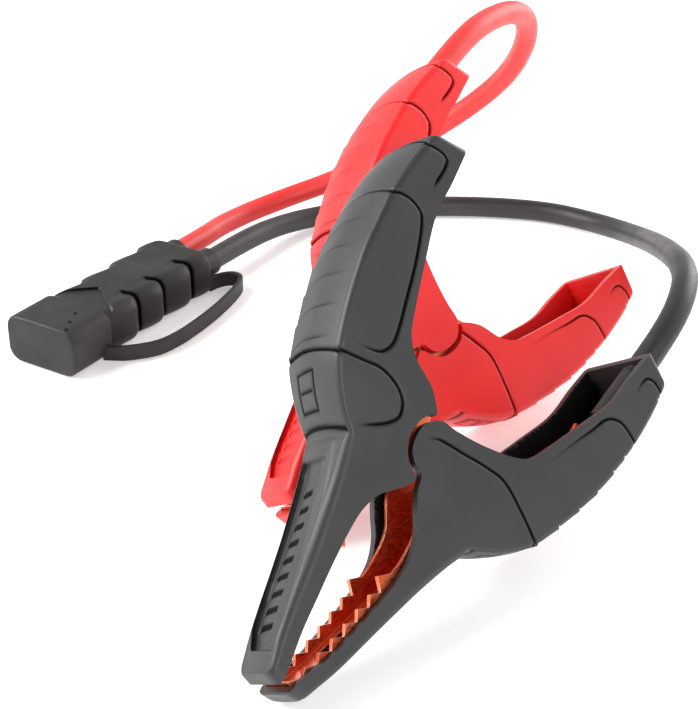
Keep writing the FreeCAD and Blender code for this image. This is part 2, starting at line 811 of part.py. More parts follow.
LEAD_ROUTES = {
    "black": [
        (108.6, 60.5, 47.2),
        (105.5, 80.6, 52.9),
        (96.7, 99.4, 50.6),
        (85.8, 119.8, 43.3),
        (74.4, 142.3, 34.2),
        (62.4, 165.4, 24.5),
        (49.2, 187.1, 15.3),
        (33.5, 204.4, 8.4),
        (17.0, 213.6, 5.0),
        (-3.7, 215.1, 4.5),
        (-26.0, 207.3, 4.5),
        (-47.9, 195.2, 4.5),
        (-68.4, 180.3, 4.5),
        (-84.6, 161.4, 4.5),
        (-92.6, 138.2, 6.5),
        (-92.7, 112.2, 9.2),
    ],
    "red": [
        (6.7, 107.3, 110.7),
        (5.4, 129.9, 112.3),
        (4.7, 152.6, 109.7),
        (0.9, 171.8, 100.5),
        (-6.2, 186.1, 85.9),
        (-17.7, 194.8, 69.0),
        (-34.0, 197.6, 53.1),
        (-52.6, 194.9, 38.0),
        (-71.5, 187.5, 24.3),
        (-89.6, 175.8, 14.2),
        (-104.3, 160.2, 8.5),
        (-112.6, 141.5, 6.0),
        (-112.9, 121.5, 7.0),
        (-108.7, 104.8, 9.2),
    ],
}


def lead_route(name):
    exit_point, _ = LEAD_EXITS[name]
    corners = [Vector(*corner) for corner in LEAD_ROUTES[name]]
    return [exit_point] + corners + [PLUG_EXITS[name]]


for name in CLAMPS:
    lead = tube_along(f"{name}_lead", lead_route(name), size("lead_diameter") / 2)
    shape_part(f"{name}_lead", lead)


# ---------------------------------------------------------------- checks and files


def check_parts():
    doc.recompute()
    faults = [obj.Label for obj in doc.Objects if {"Invalid", "Error"} & set(obj.State)]
    for part in SUB_PARTS:
        shape = part.Shape
        if shape.isNull() or not shape.isValid() or not shape.Solids or shape.Volume <= 0:
            faults.append(part.Label)
    if faults:
        raise SystemExit(f"failed sub-parts: {sorted(set(faults))}")


def write_parts():
    os.makedirs("parts", exist_ok=True)
    for part in SUB_PARTS:
        part.Shape.exportStep(f"parts/{part.Label}.step")


check_parts()
for name, (tip, heading, rise, lean, _, _) in CLAMPS.items():
    place = clamp_placement(tip, heading, rise, lean)
    axis = place.Rotation.multVec(Vector(0, 0, 1))
    print(name, "pivot", place.multVec(PIVOT), "axis", axis, "lead leaves at", LEAD_EXITS[name])
write_parts()
print(len(SUB_PARTS), "sub-parts")
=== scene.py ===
import json
import math

import bmesh
import bpy
import numpy as np
from mathutils import Euler, Matrix, Vector

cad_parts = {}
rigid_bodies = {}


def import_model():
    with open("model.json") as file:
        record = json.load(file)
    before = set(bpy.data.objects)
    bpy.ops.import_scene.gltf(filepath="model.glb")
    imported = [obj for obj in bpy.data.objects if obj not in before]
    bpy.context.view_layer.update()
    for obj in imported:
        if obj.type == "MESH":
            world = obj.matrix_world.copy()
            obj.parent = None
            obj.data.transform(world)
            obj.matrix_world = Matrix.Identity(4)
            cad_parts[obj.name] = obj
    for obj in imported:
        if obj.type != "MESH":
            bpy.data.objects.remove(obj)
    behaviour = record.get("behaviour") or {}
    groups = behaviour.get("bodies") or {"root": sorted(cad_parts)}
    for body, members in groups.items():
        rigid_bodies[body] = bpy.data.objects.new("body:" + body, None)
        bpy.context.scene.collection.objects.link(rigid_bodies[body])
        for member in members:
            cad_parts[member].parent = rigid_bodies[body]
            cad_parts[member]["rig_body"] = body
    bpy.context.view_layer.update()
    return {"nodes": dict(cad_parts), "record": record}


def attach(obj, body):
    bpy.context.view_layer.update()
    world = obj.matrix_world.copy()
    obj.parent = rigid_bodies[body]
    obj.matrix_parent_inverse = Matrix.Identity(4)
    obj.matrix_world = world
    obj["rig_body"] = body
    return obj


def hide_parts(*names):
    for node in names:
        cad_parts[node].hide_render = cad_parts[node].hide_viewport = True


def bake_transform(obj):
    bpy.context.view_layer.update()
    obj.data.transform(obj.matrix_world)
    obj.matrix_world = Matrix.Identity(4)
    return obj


# Looks of the jump starter's clamp lead set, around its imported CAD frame. The pieces are drawn in
# millimetres, in the clamp's or the plug's own frame, and placed in the row frame in metres.

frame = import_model()

MM = 0.001

# ---------------------------------------------------------------- camera

CAMERA_AT = (0.25231, -0.36004, 0.27130)
CAMERA_PITCH = 28.41
CAMERA_HEADING = 31.97
FOCAL_PIXELS = 1556.5
LONG_SIDE_PIXELS = 709


def add_camera():
    data = bpy.data.cameras.new("camera")
    data.sensor_width = 36.0
    data.lens = FOCAL_PIXELS / LONG_SIDE_PIXELS * data.sensor_width
    data.clip_start = 0.01
    camera = bpy.data.objects.new("camera", data)
    camera.location = CAMERA_AT
    angles = (math.radians(90 - CAMERA_PITCH), 0, math.radians(CAMERA_HEADING))
    camera.rotation_euler = Euler(angles)
    bpy.context.scene.collection.objects.link(camera)
    bpy.context.scene.camera = camera


add_camera()

# ---------------------------------------------------------------- frames of the clamps and the plug


def clamp_frame(tip, heading, rise, lean):
    turn = Matrix.Rotation(math.radians(-heading), 4, "Z")
    turn = turn @ Matrix.Rotation(math.radians(rise), 4, "X")
    turn = turn @ Matrix.Rotation(math.radians(-lean), 4, "Y")
    axes = Matrix(((0, 0, 1, 0), (1, 0, 0, 0), (0, 1, 0, 0), (0, 0, 0, 1)))
    return Matrix.Translation(Vector(tip) * MM) @ turn @ axes @ Matrix.Scale(MM, 4)


FRAMES = {
    "black": clamp_frame((72.81, -110.94, 8.96), 0, 23.7, 36.1),
    "red": clamp_frame((33.51, -45.74, 11.95), 0.9, 20.6, 34.9),
}
PLUG = Matrix.Translation(Vector((-100.69, -2.54, 0)) * MM) @ Matrix.Scale(MM, 4)
LEAD_HALF = {"black": "lower", "red": "upper"}
EXIT_SIDE = {"black": -5.5, "red": -1.0}
TURNED_OVER = Matrix.Rotation(math.pi, 4, "X")


# ---------------------------------------------------------------- materials


def bsdf_material(name, color, roughness, **inputs):
    material = bpy.data.materials.new(name)
    material.use_nodes = True
    shader = material.node_tree.nodes["Principled BSDF"]
    shader.inputs["Base Color"].default_value = (*color, 1)
    shader.inputs["Roughness"].default_value = roughness
    for socket, value in inputs.items():
        shader.inputs[socket.replace("_", " ")].default_value = value
    return material


def noise(tree, scale, detail=4.0, rough=0.55, stretch=None):
    """A noise texture in object space, so that it stays put on the piece."""
    coords = tree.nodes.new("ShaderNodeTexCoord")
    texture = tree.nodes.new("ShaderNodeTexNoise")
    texture.inputs["Scale"].default_value = scale
    texture.inputs["Detail"].default_value = detail
    texture.inputs["Roughness"].default_value = rough
    source = coords.outputs["Object"]
    if stretch:
        mapping = tree.nodes.new("ShaderNodeMapping")
        mapping.inputs["Scale"].default_value = stretch
        tree.links.new(source, mapping.inputs["Vector"])
        source = mapping.outputs["Vector"]
    tree.links.new(source, texture.inputs["Vector"])
    return texture.outputs["Fac"]


def ramp(tree, source, low, high, start=0.35, end=0.65):
    node = tree.nodes.new("ShaderNodeMapRange")
    node.inputs["From Min"].default_value = start
    node.inputs["From Max"].default_value = end
    node.inputs["To Min"].default_value = low
    node.inputs["To Max"].default_value = high
    tree.links.new(source, node.inputs["Value"])
    return node.outputs["Result"]


def mix(tree, factor, first, second, kind="RGBA"):
    """Blend of two values or sockets by a factor socket."""
    node = tree.nodes.new("ShaderNodeMix")
    node.data_type = kind
    for name, value in (("A", first), ("B", second)):
        if isinstance(value, bpy.types.NodeSocket):
            tree.links.new(value, node.inputs[name])
        else:
            node.inputs[name].default_value = value
    tree.links.new(factor, node.inputs["Factor"])
    return node.outputs["Result"]


def mark(tree, name):
    """Socket of a mesh attribute that marks part of a piece."""
    node = tree.nodes.new("ShaderNodeAttribute")
    node.attribute_name = name
    return node.outputs["Fac"]


def add_bump(tree, heights):
    """Bump from several heights, each with its own distance in metres, one after another."""
    normal = None
    for source, distance, strength in heights:
        node = tree.nodes.new("ShaderNodeBump")
        node.inputs["Distance"].default_value = distance
        node.inputs["Strength"].default_value = strength
        tree.links.new(source, node.inputs["Height"])
        if normal is not None:
            tree.links.new(normal, node.inputs["Normal"])
        normal = node.outputs["Normal"]
    return normal


# share of the dark colour left where the groove attribute sets painted shade
GROOVE_SHADE = 0.12


def moulded(name, dark, light, rough_low, rough_high, grain=2600, grain_depth=2.2e-5, gloss=0.5):
    """Moulded plastic or rubber: fine sandblasted grain, faint flow marks, handling polish, and
    painted shade where the groove attribute is set.
    """
    material = bsdf_material(name, light, rough_high)
    tree = material.node_tree
    shader = tree.nodes["Principled BSDF"]
    cloud = ramp(tree, noise(tree, 28, 5, 0.6), 0, 1, 0.3, 0.7)
    clean = mix(tree, cloud, (*dark, 1), (*light, 1))
    # painted shade: darker base colour and almost no specular where the groove attribute is set
    painted_shade = mark(tree, "groove")
    shade = tuple(GROOVE_SHADE * value for value in dark)
    tree.links.new(mix(tree, painted_shade, clean, (*shade, 1)), shader.inputs["Base Color"])
    shine = ramp(tree, painted_shade, gloss, 0.02, 0, 0.7)
    tree.links.new(shine, shader.inputs["Specular IOR Level"])
    polish = ramp(tree, noise(tree, 60, 6, 0.62), rough_low, rough_high, 0.35, 0.62)
    tree.links.new(polish, shader.inputs["Roughness"])
    fine = noise(tree, grain, 2, 0.5)
    flow = noise(tree, 45, 3, 0.5)
    bump = add_bump(tree, [(flow, 1.2e-4, 0.5), (fine, grain_depth, 1.0)])
    tree.links.new(bump, shader.inputs["Normal"])
    return material


def metal(name, dark, light, roughness, stretch=None, grain=1800, dents=0.4):
    """Bare or plated metal with drawing marks, tarnish and small scratches."""
    material = bsdf_material(name, light, roughness[1], Metallic=1.0)
    tree = material.node_tree
    shader = tree.nodes["Principled BSDF"]
    tarnish = ramp(tree, noise(tree, 75, 6, 0.65), 0, 1, 0.38, 0.66)
    tree.links.new(mix(tree, tarnish, (*dark, 1), (*light, 1)), shader.inputs["Base Color"])
    drawn = noise(tree, grain, 3, 0.6, stretch)
    tree.links.new(ramp(tree, drawn, *roughness), shader.inputs["Roughness"])
    bump = add_bump(tree, [(noise(tree, 160, 4, 0.6), 3e-5, dents), (drawn, 1.5e-5, 0.7)])
    tree.links.new(bump, shader.inputs["Normal"])
    return material


def painted_edge_highlight(material, bright, roughness):
    """Painted highlight: lighter, smoother metal where a refined piece's edge attribute marks its
    edges.
    """
    tree = material.node_tree
    shader = tree.nodes["Principled BSDF"]
    edges = mark(tree, "edge")
    painted_highlight = (("Base Color", (*bright, 1), "RGBA"), ("Roughness", roughness, "FLOAT"))
    for socket, value, kind in painted_highlight:
        plain = shader.inputs[socket].links[0].from_socket
        tree.links.new(mix(tree, edges, plain, value, kind), shader.inputs[socket])
    return material


# each: darker and lighter colour
BLACK = (0.015, 0.015, 0.016), (0.023, 0.023, 0.025)
JACKET = (0.012, 0.0115, 0.011), (0.020, 0.019, 0.018)
RUBBER = (0.008, 0.0075, 0.007), (0.014, 0.013, 0.0125)
RED = (0.66, 0.008, 0.008), (0.76, 0.012, 0.012)
RED_JACKET = (0.60, 0.018, 0.016), (0.70, 0.028, 0.025)
COPPER = (0.80, 0.13, 0.045), (0.90, 0.25, 0.12)
PLATED_STEEL = (0.42, 0.42, 0.43), (0.66, 0.66, 0.66)
SPRING_STEEL = (0.22, 0.22, 0.23), (0.42, 0.42, 0.43)
BRASS = (0.62, 0.44, 0.16), (0.85, 0.66, 0.30)

MATERIALS = {
    "black_plastic": moulded("black_plastic", *BLACK, 0.42, 0.52),
    "red_plastic": moulded("red_plastic", *RED, 0.38, 0.48),
    "black_jacket": moulded("black_jacket", *JACKET, 0.42, 0.54, 1500, 1.6e-5),
    "red_jacket": moulded("red_jacket", *RED_JACKET, 0.40, 0.52, 1500, 1.6e-5),
    "boot_rubber": moulded("boot_rubber", *RUBBER, 0.48, 0.62, 2200, 2.6e-5, 0.4),
    "housing_plastic": moulded("housing_plastic", *JACKET, 0.34, 0.44),
    "bush_plastic": moulded("bush_plastic", *JACKET, 0.38, 0.50),
    # copper with a painted highlight on its bevelled edges
    "copper": painted_edge_highlight(
        metal("copper", *COPPER, (0.24, 0.40), (1, 0.15, 1), dents=0.1), (1.0, 0.80, 0.68), 0.30
    ),
    "rivet_steel": metal("rivet_steel", *PLATED_STEEL, (0.25, 0.4)),
    "spring_steel": metal("spring_steel", *SPRING_STEEL, (0.25, 0.4)),
    "contact_brass": metal("contact_brass", *BRASS, (0.2, 0.35)),
}


def paint(obj, slot):
    obj.data.materials.clear()
    obj.data.materials.append(MATERIALS[slot])


NODE_SLOTS = {part["node"]: part["material_slot"] for part in frame["record"]["subparts"]}
for node, node_slot in NODE_SLOTS.items():
    paint(frame["nodes"][node], node_slot)


# ---------------------------------------------------------------- curves and meshes


def smooth(points, steps=12):
    """Catmull-Rom curve through points, steps samples to a span."""
    p = np.array(points, float)
    q = np.concatenate([[2 * p[0] - p[1]], p, [2 * p[-1] - p[-2]]])
    t = np.linspace(0, 1, steps, endpoint=False)[:, None]
    spans = []
    for a, b, c, d in zip(q[:-3], q[1:-2], q[2:-1], q[3:]):
        spans.append(
            0.5 * (2 * b + (c - a) * t + (2 * a - 5 * b + 4 * c - d) * t**2
                   + (3 * b - a - 3 * c + d) * t**3)
        )
    return np.concatenate(spans + [p[-1:]])


def distance_along(points, line):
    """Distance of each point from a polyline, and how far along it the nearest spot is (0-1)."""
    best = np.full(len(points), 1e9)
    where = np.zeros(len(points))
    lengths = np.linalg.norm(np.diff(line, axis=0), axis=1)
    starts = np.concatenate([[0], np.cumsum(lengths)])
    for i, (a, b) in enumerate(zip(line[:-1], line[1:])):
        run = b - a
        size = max(float(run @ run), 1e-12)
        t = np.clip(((points - a) @ run) / size, 0, 1)
        gap = np.linalg.norm(points - a - t[:, None] * run, axis=1)
        nearer = gap < best
        best[nearer] = gap[nearer]
        where[nearer] = (starts[i] + t[nearer] * lengths[i]) / starts[-1]
    return best, where


def step(value, low, high):
    t = np.clip((value - low) / (high - low), 0, 1)
    return t * t * (3 - 2 * t)


def groove(points, line, depth, width, fade_in=0.0, fade_out=0.0):
    """Height (negative) of a groove along a line of points; it fades over a share of its ends."""
    gap, where = distance_along(points, smooth(line))
    height = -depth * np.exp(-((gap / width) ** 2))
    if fade_in:
        height = height * step(where, 0, fade_in)
    if fade_out:
        height = height * step(1 - where, 0, fade_out)
    return height


def grid_faces(rows, columns, start=0, closed=False):
    """Quads of a grid of points kept row by row."""
    r = np.arange(rows - 1)[:, None]
    c = np.arange(columns if closed else columns - 1)[None, :]
    n = (c + 1) % columns
    near, far = r * columns, (r + 1) * columns
    quads = np.stack([near + c, near + n, far + n, far + c])
    return (quads.reshape(4, -1).T + start).tolist()


def make_object(name, points, faces, matrix, weld=0.002, smooth_angle=38, marks=None):
    """A piece from points in millimetres; near points are welded and small gaps are filled."""
    mesh = bpy.data.meshes.new(name)
    mesh.from_pydata([tuple(p) for p in np.asarray(points, float)], [], faces)
    # marks: painted shade of each point, kept in the groove attribute
    if marks is not None:
        layer = mesh.attributes.new("groove", "FLOAT", "POINT")
        layer.data.foreach_set("value", np.asarray(marks, np.float32))
    work = bmesh.new()
    work.from_mesh(mesh)
    bmesh.ops.remove_doubles(work, verts=work.verts, dist=weld)
    bmesh.ops.dissolve_degenerate(work, edges=work.edges, dist=1e-4)
    rims = [e for e in work.edges if e.is_boundary]
    bmesh.ops.holes_fill(work, edges=rims, sides=12)
    bmesh.ops.recalc_face_normals(work, faces=work.faces)
    work.to_mesh(mesh)
    work.free()
    mesh.transform(matrix)
    mesh.shade_smooth()
    mesh.set_sharp_from_angle(angle=math.radians(smooth_angle))
    obj = bpy.data.objects.new(name, mesh)
    bpy.context.scene.collection.objects.link(obj)
    return obj


def finish_piece(obj, body, slot, *replaced):
    paint(obj, slot)
    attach(obj, body)
    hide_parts(*replaced)


# ---------------------------------------------------------------- leads

LEADS = {
    "black": [
        (105.65, 45.34, 38.57),
        (108.6, 60.5, 47.2),
        (105.5, 80.6, 52.9),
        (96.7, 99.4, 50.6),
        (85.8, 119.8, 43.3),
        (74.4, 142.3, 34.2),
        (62.4, 165.4, 24.5),
        (49.2, 187.1, 15.3),
        (33.5, 204.4, 8.4),
        (17.0, 213.6, 5.0),
        (-3.7, 215.1, 4.5),
        (-26.0, 207.3, 4.5),
        (-47.9, 195.2, 4.5),
        (-68.4, 180.3, 4.5),
        (-84.6, 161.4, 4.5),
        (-92.6, 138.2, 6.5),
        (-92.7, 112.2, 9.2),
        (-92.69, 88.26, 9.25),
    ],
    "red": [
        (7.18, 86.07, 102.95),
        (6.7, 107.3, 110.7),
        (5.4, 129.9, 112.3),
        (4.7, 152.6, 109.7),
        (0.9, 171.8, 100.5),
        (-6.2, 186.1, 85.9),
        (-17.7, 194.8, 69.0),
        (-34.0, 197.6, 53.1),
        (-52.6, 194.9, 38.0),
        (-71.5, 187.5, 24.3),
        (-89.6, 175.8, 14.2),
        (-104.3, 160.2, 8.5),
        (-112.6, 141.5, 6.0),
        (-112.9, 121.5, 7.0),
        (-108.7, 104.8, 9.2),
        (-108.69, 88.26, 9.25),
    ],
}
LEAD_DIAMETER = 0.0086


def add_lead(name):
    data = bpy.data.curves.new(f"{name}_lead_piece", "CURVE")
    data.dimensions = "3D"
    data.bevel_depth = LEAD_DIAMETER / 2
    data.bevel_resolution = 8
    data.resolution_u = 24
    data.use_fill_caps = True
    spline = data.splines.new("NURBS")
    route = LEADS[name]
    spline.points.add(len(route) - 1)
    for point, spot in zip(spline.points, route):
        point.co = (*(Vector(spot) * MM), 1)
    spline.order_u = 3
    spline.use_endpoint_u = True
    obj = bpy.data.objects.new(f"{name}_lead_piece", data)
    bpy.context.scene.collection.objects.link(obj)
    finish_piece(obj, "root", f"{name}_jacket", f"{name}_lead")


for lead_name in LEADS:
    add_lead(lead_name)


# ---------------------------------------------------------------- clamp covers
# A cover is a channel. Each station of its length is one cross-section: near wall (+z), outer
# face, far wall (-z). Its rows below join a point of the crest to a point of each wall's edge.

WALL = 2.2
# painted shade on the inner surface of each colour's covers
INSIDE_SHADE = {"black": 0.7, "red": 0.2}
HALF_WIDTHS = [(-1, 8.2), (64, 11.2), (79, 12.8), (156, 14.6)]
CREST = smooth(
    [
        (0.6, 6.4), (13, 10.5), (32, 15.5), (51, 21.0), (61, 24.5), (64, 25.6), (68, 31.2),
        (73, 36.8), (79, 41.4), (91, 46.5), (105, 51.0), (116, 53.1), (127, 54.6), (139, 55.0),
        (151, 54.0),
    ]
)
PIVOT_X = 78.0
# radius of the walls' rounding into the outer face, and rise of that face, along x
CORNERS = [0, 10, 58, 66, 80, 151], [2.4, 3.4, 3.2, 2.2, 2.0, 2.2]
CROWNS = [0, 50, 64, 70, 120, 151], [0.3, 0.5, 0.7, 1.2, 1.4, 1.2]
WAIST_X, WAIST_STEP = 64.4, 0.45


def on_circle(radius, degrees):
    angle = math.radians(degrees)
    return PIVOT_X + radius * math.cos(angle), radius * math.sin(angle)


RECESS = 10.2
LOBE = 8.5
FREE_EDGE, LEAD_EDGE = 1, 2
# crest x, edge of the free half's walls, edge of the lead half's walls
FAN = [
    (0.6, (0.0, 1.2), (0.0, 1.2)),
    (7, (7.6, 3.2), (7.6, 3.2)),
    (13, (14.5, 4.9), (14.5, 5.9)),
    (22, (23.5, 6.4), (23.5, 7.7)),
    (32, (33.5, 8.0), (33.5, 9.4)),
    (41, (42.5, 9.1), (42.5, 10.4)),
    (49, (50.0, 9.3), (50.0, 10.2)),
    (55, (56.5, 7.7), (56.5, 7.7)),
    (60, (61.3, 4.3), (61.3, 4.0)),
    (64, (64.9, 1.9), (65.6, 1.2)),
    (68, on_circle(RECESS, 171), on_circle(LOBE, 184)),
    (71, on_circle(RECESS, 141), on_circle(LOBE, 212)),
    (75, on_circle(RECESS, 110), on_circle(LOBE, 242)),
    (80, on_circle(RECESS, 76), on_circle(LOBE, 286)),
    (84.5, on_circle(RECESS, 52), on_circle(LOBE, 328)),
    (88, (85.9, 6.6), on_circle(LOBE, 368)),
    (92.5, (90.6, 12.2), (89.0, 10.0)),
    (97, (93.4, 20.3), (93.4, 20.3)),
    (101.5, (97.6, 25.7), (97.6, 25.7)),
    (107, (105.0, 29.4), (105.0, 29.4)),
    (118, (118.0, 34.7), (118.0, 34.7)),
    (131, (131.0, 39.6), (131.0, 39.6)),
    (142, (143.5, 41.3), (143.5, 41.3)),
    (151, (154.9, 43.2), (154.9, 43.2)),
]

# Lines on the walls, in x-y: around the handle end, the grip and the shoulder. Each has its depth
# and the share of its length over which it fades out.
NEAR_LINES = [
    ([(145.6, 55.4), (147.2, 51.2), (147.8, 47.9), (146.8, 46.2), (143.9, 45.5), (139.7, 45.3),
      (135.5, 45.2)], 0.55, 0.25),
    ([(126.0, 55.2), (128.1, 51.2), (128.9, 47.7), (128.6, 45.0), (127.5, 43.1), (123.3, 40.4),
      (115.0, 36.6), (105.6, 33.2), (96.3, 29.9), (91.4, 29.0), (87.7, 30.3), (85.6, 33.3),
      (83.3, 39.2)], 0.6, 0.16),
    ([(78.6, 41.6), (81.7, 33.4), (83.7, 28.1), (83.7, 22.7), (82.1, 18.4), (79.7, 16.3),
      (76.5, 15.7), (72.2, 18.4), (65.8, 25.4)], 0.6, 0.2),
]
FAR_LINES = [
    ([(146.7, 55.2), (148.0, 49.7), (146.9, 46.6), (143.9, 45.6), (139.0, 45.4)], 0.55, 0.5),
    ([(127.0, 55.2), (128.6, 49.1), (128.4, 44.8), (125.5, 41.0), (118.8, 38.4), (107.1, 33.5),
      (96.4, 29.9)], 0.6, 0.75),
    ([(78.6, 41.8), (82.7, 32.2), (85.9, 22.3), (85.0, 14.6), (83.1, 7.2), (80.9, -1.4),
      (77.8, -5.9)], 0.6, 0.14),
]
# Lines on the outer face, in x-z: lips at the handle end, the grip's rear and the shoulder.
OUTER_ARCS = [
    ([(146.2, 15.0), (148.2, 8.8), (148.9, 2.0), (148.4, -4.5), (146.4, -10.0),
      (144.6, -15.0)], 0.5),
    ([(126.4, 14.4), (127.4, 7.4), (127.7, 0.1), (126.5, -5.5), (124.2, -9.5),
      (120.5, -14.5)], 0.6),
    ([(78.4, 13.6), (79.0, 7.4), (79.3, 0.2), (79.1, -5.9), (78.2, -13.6)], 0.5),
    ([(64.4, 12.0), (64.9, 2.3), (65.0, -5.3), (64.4, -12.0)], 0.45),
]
WALL_LINE_WIDTH, FACE_LINE_WIDTH = 0.48, 0.42
# arc, height and reach of the lips that stand proud on the tip side of the two rear arcs
REAR_LIPS = [(0, 0.25, 3.0), (1, 0.35, 4.0)]
SHOULDER_LIP = (0.45, 3.5)
FINGER_GROOVES = [82.0, 90.9, 100.0, 108.8, 117.7]
FINGER_DEPTH, FINGER_STEP, FINGER_REACH = 0.5, 0.55, 4.2
SIGN_BOX = [(74.6, -6.2), (75.0, 1.6), (67.6, 1.2), (67.6, -6.4), (74.6, -6.2)]
SIGN_BAR = [(71.1, 0.2), (71.0, -5.2)]
SIGN_DEPTH = 0.4
NOSE_MIDDLE, NOSE_ROUND = (5.0, 0.0), 0.26
TAIL_MIDDLE, TAIL_ROUND = (47.5, 0.0), 0.05


def half_width(x):
    """Half width at x, with the kinks between the straight tapers eased."""
    offsets = (-4, -2, 0, 2, 4)
    return sum(np.interp(x + offset, *zip(*HALF_WIDTHS)) for offset in offsets) / len(offsets)


def fan_rows(edge_column, spacing=0.42):
    """Crest points and the walls' lower edge at even stations along the cover."""
    crest_x = [row[0] for row in FAN]
    lengths = []
    for a, b in zip(FAN[:-1], FAN[1:]):
        lengths.append(max(b[0] - a[0], math.dist(a[edge_column], b[edge_column])))
    counts = [max(2, int(round(length / spacing))) for length in lengths]
    knots = np.arange(len(FAN))
    s = np.concatenate([np.linspace(i, i + 1, n, endpoint=False) for i, n in enumerate(counts)])
    s = np.append(s, knots[-1])
    fine = np.linspace(0, knots[-1], 12 * knots[-1] + 1)
    x = np.interp(s, fine, smooth([(v,) for v in crest_x])[:, 0])
    x = np.clip(x, 0.6, 151)
    crest = np.stack([x, np.interp(x, CREST[:, 0], CREST[:, 1])], axis=1)
    curve = smooth([row[edge_column] for row in FAN])
    edge = np.stack([np.interp(s, fine, curve[:, k]) for k in range(2)], axis=1)
    return crest, edge


def section(crest, edge, widths, corner, across, up, crown):
    """Points of every cross-section and the outward direction at each."""
    stations = len(crest)
    columns, normals = [], []
    for side in (1, -1):
        run = crest - edge
        height = np.linalg.norm(run, axis=1, keepdims=True)
        rise = run / height
        radius = np.minimum(corner, height[:, 0] * 0.4)[:, None]
        wall = []
        for f in np.linspace(0, 1, up):
            spot = edge + rise * (height - radius) * f
            wall.append(np.column_stack([spot, side * widths]))
        turn = []
        for angle in np.linspace(0, math.pi / 2, 9)[1:]:
            spot = edge + rise * (height - radius + radius * math.sin(angle))
            wide = side * (widths - radius[:, 0] * (1 - math.cos(angle)))
            turn.append(np.column_stack([spot, wide]))
        outward = [np.column_stack([np.zeros((stations, 2)), np.full(stations, float(side))])] * up
        for angle in np.linspace(0, math.pi / 2, 9)[1:]:
            outward.append(
                np.column_stack([rise * math.sin(angle), np.full(stations, side * math.cos(angle))])
            )
        if side > 0:
            columns += wall + turn
            normals += outward
            near_ridge, near_rise = turn[-1], rise
        else:
            for f in np.linspace(0, 1, across)[1:-1]:
                spot = near_ridge * (1 - f) + turn[-1] * f
                lean = near_rise * (1 - f) + rise * f
                spot = spot + np.column_stack([lean * crown * 4 * f * (1 - f), np.zeros(stations)])
                columns.append(spot)
                normals.append(np.column_stack([lean, np.zeros(stations)]))
            columns += (wall + turn)[::-1]
            normals += outward[::-1]
    return np.stack(columns, axis=1), np.stack(normals, axis=1)


def arc_x(line, z):
    """x of a line on the outer face at each z."""
    curve = smooth(line)
    order = np.argsort(curve[:, 1])
    return np.interp(z, curve[order, 1], curve[order, 0])


def wall_relief(flat, facing):
    """Height of the lines on the two walls, and the painted shade in them."""
    height, dark = np.zeros(len(flat)), np.zeros(len(flat))
    for lines, sign in ((NEAR_LINES, 1), (FAR_LINES, -1)):
        on_side = (sign * flat[:, 2] > 0) & (np.abs(facing[:, 2]) > 0.05)
        spots = flat[on_side][:, :2]
        total = np.zeros(len(spots))
        for line, depth, fade in lines:
            total = np.minimum(total, groove(spots, line, depth, WALL_LINE_WIDTH, 0, fade))
        height[on_side] = total
        # painted shade in the lines, darker the deeper they are
        dark[on_side] = np.clip(-total / 0.55, 0, 1)
    return height, dark


def face_relief(spots):
    """Height of the arcs, lips, finger steps, panel and sign on the outer face, and the painted shade
    in their hollows.
    """
    u, v = spots.T
    total = np.zeros(len(spots))
    for line, depth in OUTER_ARCS:
        total = np.minimum(total, groove(spots, line, depth, FACE_LINE_WIDTH))
    # painted shade in the arcs, darker the deeper they are
    dark = np.clip(-total / 0.45, 0, 1)
    for arc, height, reach in REAR_LIPS:
        behind = arc_x(OUTER_ARCS[arc][0], v) - u
        total += np.where(behind > 0, height * np.exp(-behind / reach), 0)
    ahead = u - arc_x(OUTER_ARCS[2][0], v)
    height, reach = SHOULDER_LIP
    total += np.where(ahead > 0, height * np.exp(-ahead / reach), 0) * step(-v, -8, 6)
    fade = step(-v, -8.5, 2)
    for at in FINGER_GROOVES:
        gap = u - at - 0.5 + 0.022 * np.maximum(-v - 1, 0) ** 2
        groove_here = fade * np.exp(-((gap / 0.5) ** 2))
        total -= FINGER_DEPTH * groove_here
        # painted shade in the finger steps' hollows
        dark = np.maximum(dark, 0.75 * groove_here)
        total += np.where(gap < 0, FINGER_STEP * fade * np.exp(gap / FINGER_REACH), 0)
    panel, panel_shade = jaw_panel(u, v)
    total += panel
    dark = np.maximum(dark, panel_shade)
    for line in (SIGN_BOX, SIGN_BAR):
        gap, _ = distance_along(spots, np.array(line, float))
        engraved = np.exp(-((gap / FACE_LINE_WIDTH) ** 2))
        total -= SIGN_DEPTH * engraved
        # painted shade in the sign's engraved lines
        dark = np.maximum(dark, 0.8 * engraved)
    return total, dark


def cover_relief(points, normals):
    """Height and painted shade at each point of the outer surface, walls and outer face together."""
    flat = points.reshape(-1, 3)
    facing = normals.reshape(-1, 3)
    side, side_shade = wall_relief(flat, facing)
    outer, outer_shade = np.zeros(len(flat)), np.zeros(len(flat))
    upward = np.hypot(facing[:, 0], facing[:, 1]) > 0.05
    outer[upward], outer_shade[upward] = face_relief(flat[upward][:, [0, 2]])
    weight = np.abs(facing[:, 2]) ** 2
    height = side * np.clip(weight * 3, 0, 1) + outer * np.clip((1 - weight) * 3, 0, 1)
    both = (weight > 0.05) & (weight < 0.95)
    height[both] = np.minimum(side[both] + outer[both] * (1 - weight[both]), height[both])
    dark = np.where(weight > 0.5, side_shade, outer_shade)
    return height.reshape(points.shape[:2]), dark.reshape(points.shape[:2])


# Sides of the sunk panel and of the ridge beside it: x, then z.
PANEL_LEFT = [0, 5, 12, 24, 41, 55, 64], [-3, -3.6, -6.9, -7.8, -8.0, -8.6, -8.6]
PANEL_RIGHT = [0, 5, 12, 28, 44, 57.4, 64], [5.0, 5.4, 5.2, 3.4, 1.3, -0.2, -0.5]
PANEL_RIDGE = [0, 5, 21, 46, 63.5], [6.2, 6.6, 7.6, 6.6, 4.2]
PANEL_DEPTH, PANEL_END = 1.5, 58.2
SLOTS = np.arange(12.5, 53.5, 4.6)
SLOT_LOW, SLOT_DEPTH, SLOT_HALF = -5.4, 0.5, 0.8


